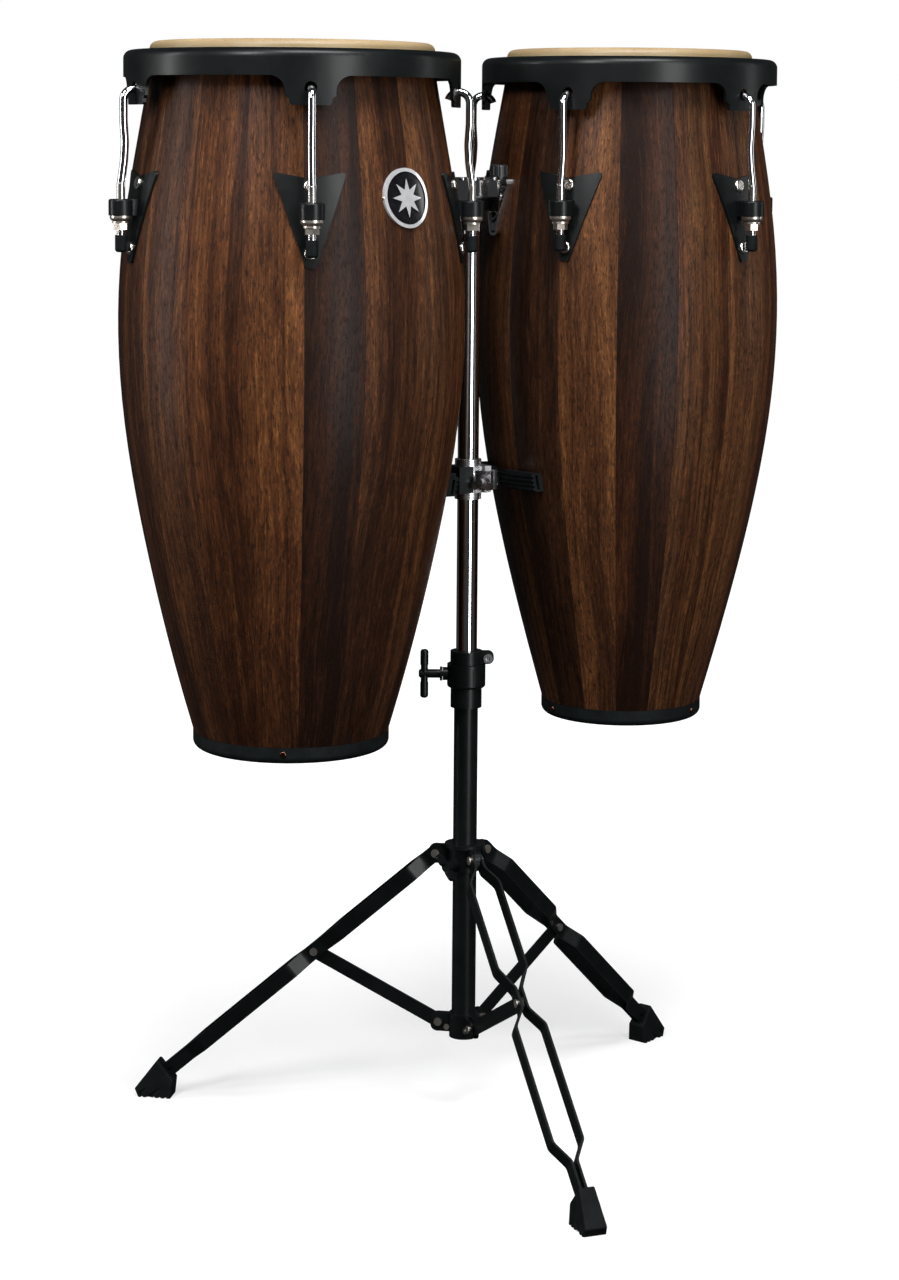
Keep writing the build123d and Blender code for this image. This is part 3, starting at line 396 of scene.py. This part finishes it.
MATERIALS = {
    "black_powder_coat": powder_coat("black_powder_coat", (0.32, 0.44), 0.16),
    "chrome": chrome("chrome", (0.80, 0.80, 0.82), (0.04, 0.10)),
    "nickel": chrome("nickel", (0.60, 0.55, 0.49), (0.30, 0.44)),
    "hoop_steel": chrome("hoop_steel", (0.42, 0.42, 0.42), (0.30, 0.45)),
    "badge_metal": chrome("badge_metal", (0.82, 0.82, 0.84), (0.10, 0.18)),
    "black_rubber": rubber(),
    "black_plastic": plastic(),
}
CAST_CHROME = chrome("cast_chrome", (0.88, 0.88, 0.90), (0.20, 0.36))
LEG_COAT = powder_coat("leg_coat", (0.22, 0.32), 0.24)
THREAD = chrome("thread", (0.50, 0.49, 0.47), (0.20, 0.34))


def dress(node, material):
    """Give a CAD node one material."""
    mesh = nodes[node].data
    mesh.materials.clear()
    mesh.materials.append(material)


for entry in frame["record"]["subparts"]:
    if entry["material_slot"] in MATERIALS:
        dress(entry["node"], MATERIALS[entry["material_slot"]])
for drum in DRUMS:
    dress(f"{drum.name}_shell", stave_wood(drum))
    dress(f"{drum.name}_head", rawhide(drum))
    dress(f"{drum.name}_shell_fasteners", fastener(drum))
dress("conga_badge", badge_face())
for node in ("knee_clamp", "knee_wing_bolt", "memory_lock_bolt"):
    dress(node, CAST_CHROME)
for side in ("front", "right"):
    dress(f"leg_{side}", LEG_COAT)


# ---- Pieces added to the frame ----

def piece(name, build, material, body):
    """A smooth mesh object from a bmesh-building function, riding on a body."""
    mesh = bpy.data.meshes.new(name)
    work = bmesh.new()
    build(work)
    bmesh.ops.recalc_face_normals(work, faces=work.faces)
    work.to_mesh(mesh)
    work.free()
    for polygon in mesh.polygons:
        polygon.use_smooth = True
    mesh.materials.append(material)
    item = bpy.data.objects.new(name, mesh)
    scene.collection.objects.link(item)
    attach(item, body)


LATHE_STEPS = 24


def lathe(work, outline, centre):
    """Turn a closed (radius, height) outline round a vertical axis."""
    rows = []
    for i in range(LATHE_STEPS):
        a = math.tau * i / LATHE_STEPS
        rows.append([work.verts.new((centre.x + r * math.cos(a), centre.y + r * math.sin(a),
                                     centre.z + h)) for r, h in outline])
    size = len(outline)
    for i in range(LATHE_STEPS):
        near, far = rows[i], rows[(i + 1) % LATHE_STEPS]
        for j in range(size):
            k = (j + 1) % size
            work.faces.new((near[j], far[j], far[k], near[k]))


# The rods' threads, in metres.
THREAD_PITCH = 0.00141
THREAD_CORE = 0.00401        # radius between the crests
THREAD_CREST = 0.00432       # radius of the crests
THREAD_DEPTH = 0.0012        # how far the ring reaches into the rod
THREAD_RUN = 0.017           # threaded length that shows above the barrel
THREAD_SUNK = 0.004          # and how far it goes on inside the barrel
BARREL_TOP = 0.0162          # the barrel's top over the nut's
TAIL = (0.0038, 0.0002)      # the thread under the nut: its end and its start below the nut


def thread_rings(low, high):
    """Outline of a stack of thread crests between two heights."""
    outline = [(THREAD_CORE, low)]
    level = low
    while level + THREAD_PITCH < high:
        outline.append((THREAD_CREST, level + THREAD_PITCH * 0.5))
        outline.append((THREAD_CORE, level + THREAD_PITCH))
        level += THREAD_PITCH
    return outline + [(THREAD_CORE - THREAD_DEPTH, level), (THREAD_CORE - THREAD_DEPTH, low)]


def add_threads(drum):
    """The tuning rods' threads where they show, above the barrel and below the nut."""
    barrel_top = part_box(f"{drum.name}_nut_1")[1][2] + BARREL_TOP
    nut_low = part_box(f"{drum.name}_nut_1")[0][2]
    for i, rod in enumerate(drum.rods):
        centre = Vector((rod.x, rod.y, 0.0))

        def build(work):
            lathe(work, thread_rings(barrel_top - THREAD_SUNK, barrel_top + THREAD_RUN), centre)
            lathe(work, thread_rings(nut_low - TAIL[0], nut_low - TAIL[1]), centre)

        piece(f"{drum.name}_thread_{i + 1}", build, THREAD,
              f"{drum.name}_tension")


for drum in DRUMS:
    add_threads(drum)


# The badge's rivets, in metres.
RIVET_DOME = [(0.0, 0.0026), (0.0009, 0.0024), (0.0016, 0.0018), (0.0020, 0.0006),
              (0.0020, -0.0020), (0.0, -0.0020)]
RIVET_ASIDE = 0.0282         # from the badge's middle, along the shell
RIVET_PROUD = 0.0012         # out from the middle of the badge's box


def add_badge_rivets():
    """Two domed rivets at the left and right of the badge's ring."""
    centre = middle("conga_badge")
    outward = centre - CONGA.centre
    reach = Vector((outward.x, outward.y)).length
    turn = math.atan2(outward.y, outward.x)
    for side, word in ((-1, "left"), (1, "right")):
        swing = side * RIVET_ASIDE / reach
        stand = Matrix.Translation(CONGA.centre + Vector((0, 0, centre.z - CONGA.centre.z)))
        stand = stand @ Matrix.Rotation(turn + swing, 4, "Z")
        stand = stand @ Matrix.Translation((reach + RIVET_PROUD, 0, 0))
        stand = stand @ Matrix.Rotation(math.pi / 2, 4, "Y")

        def build(work):
            lathe(work, RIVET_DOME, Vector((0, 0, 0)))
            bmesh.ops.transform(work, matrix=stand, verts=work.verts)
            bmesh.ops.remove_doubles(work, verts=work.verts, dist=1e-6)

        piece(f"badge_rivet_{word}", build, MATERIALS["nickel"], "conga_drum")


add_badge_rivets()


def add_skin(drum):
    """The rawhide in place of the CAD head, copied from its mesh: it stays on the shell's edge where the head was,
    and the CAD head is hidden."""
    head = f"{drum.name}_head"
    skin = bpy.data.objects.new(f"{drum.name}_skin", nodes[head].data.copy())
    scene.collection.objects.link(skin)
    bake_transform(skin)
    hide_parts(head)


for drum in DRUMS:
    add_skin(drum)


# ---- Edges: a small rounding on the hard-edged CAD pieces, in metres ----
ROUNDED = {"mount_head": 0.0008, "knee_clamp": 0.0008, "height_clamp": 0.0008,
           "memory_lock": 0.0007, "tripod_collar": 0.0007, "base_collar": 0.0006,
           "conga_bracket": 0.0005, "quinto_bracket": 0.0005, "leg_front": 0.0009,
           "leg_left": 0.0009, "leg_right": 0.0009, "knee_wing_bolt": 0.0005}
for node, width in ROUNDED.items():
    bevel = nodes[node].modifiers.new("edge", "BEVEL")
    bevel.width = width
    bevel.segments = 2
    bevel.limit_method = "ANGLE"
    bevel.angle_limit = math.radians(40)


# ---- Floor, light and camera ----

FLOOR_HALF = 12.0
FLOOR_DROP = 0.0002          # just below the feet


def add_floor():
    """A large plain floor that the object's metal doesn't mirror."""
    mesh = bpy.data.meshes.new("floor")
    corners = [(x * FLOOR_HALF, y * FLOOR_HALF, 0)
               for x, y in ((-1, -1), (1, -1), (1, 1), (-1, 1))]
    mesh.from_pydata(corners, [], [(0, 1, 2, 3)])
    mesh.materials.append(floor_white())
    item = bpy.data.objects.new("floor", mesh)
    item.location.z = -FLOOR_DROP
    item.visible_diffuse = False
    item.visible_glossy = False
    scene.collection.objects.link(item)


def add_softbox(name, place, target, size, power):
    """A white panel light at a place, aimed at a target."""
    light = bpy.data.lights.new(name, "AREA")
    light.shape = "RECTANGLE"
    light.size, light.size_y = size
    light.energy = power
    item = bpy.data.objects.new(name, light)
    item.location = place
    aim = Vector(target) - Vector(place)
    item.rotation_euler = aim.to_track_quat("-Z", "Y").to_euler()
    scene.collection.objects.link(item)


ROOM_LIGHT = 0.04            # what the object gets from around it, against the white backdrop


def add_world():
    """A white backdrop for the eye, and a dim room for what the object reflects."""
    world = bpy.data.worlds.new("studio")
    scene.world = world
    world.use_nodes = True
    tree = world.node_tree
    tree.nodes.clear()
    path = tree.nodes.new("ShaderNodeLightPath")
    seen = tree.nodes.new("ShaderNodeBackground")
    seen.inputs["Color"].default_value = (1, 1, 1, 1)
    seen.inputs["Strength"].default_value = 1.0
    lit = tree.nodes.new("ShaderNodeBackground")
    lit.inputs["Color"].default_value = (0.95, 0.97, 1.0, 1)
    lit.inputs["Strength"].default_value = ROOM_LIGHT
    mix = tree.nodes.new("ShaderNodeMixShader")
    out = tree.nodes.new("ShaderNodeOutputWorld")
    tree.links.new(path.outputs["Is Camera Ray"], mix.inputs[0])
    tree.links.new(lit.outputs[0], mix.inputs[1])
    tree.links.new(seen.outputs[0], mix.inputs[2])
    tree.links.new(mix.outputs[0], out.inputs[0])


add_floor()
add_world()
SHELLS = (0.0, 0.0, 0.80)    # the middle of the drums
add_softbox("right", (1.55, -2.35, 1.18), (0.0, 0.0, 1.18), (0.84, 2.80), 66)
add_softbox("left", (-1.25, -2.10, 2.55), SHELLS, (0.55, 1.30), 62)
add_softbox("side", (-2.60, -0.25, 1.30), SHELLS, (0.40, 2.30), 31)
add_softbox("rim", (2.45, 0.60, 1.30), SHELLS, (0.35, 1.60), 5)
add_softbox("top", (0.35, -1.25, 3.00), (0.0, 0.0, 0.90), (1.50, 0.90), 74)
scene.view_settings.view_transform = "Standard"

# The camera stands in front of the pole, a little below the rims, and looks slightly down.
SENSOR = 36.0                # mm, along the frame's long side
LENS = 78.975                # mm
SHIFT_X = -0.008984375       # shares of the frame's long side
SHIFT_Y = -0.17984375
EYE = Vector((-0.0079, -2.9291, 1.0458))     # from the pole's foot, metres
PITCH = 0.0973               # radians
ROLL = 0.0083


def add_camera():
    """The view that the scene is lit and judged for."""
    data = bpy.data.cameras.new("camera")
    data.sensor_width = SENSOR
    data.lens = LENS
    data.shift_x = SHIFT_X
    data.shift_y = SHIFT_Y
    data.clip_end = 100.0
    pole = middle("upper_pole")
    camera = bpy.data.objects.new("camera", data)
    camera.matrix_world = (Matrix.Translation((pole.x + EYE.x, pole.y + EYE.y, EYE.z))
                           @ Matrix.Rotation(math.pi / 2 - PITCH, 4, "X")
                           @ Matrix.Rotation(ROLL, 4, "Z"))
    scene.collection.objects.link(camera)
    scene.camera = camera


add_camera()
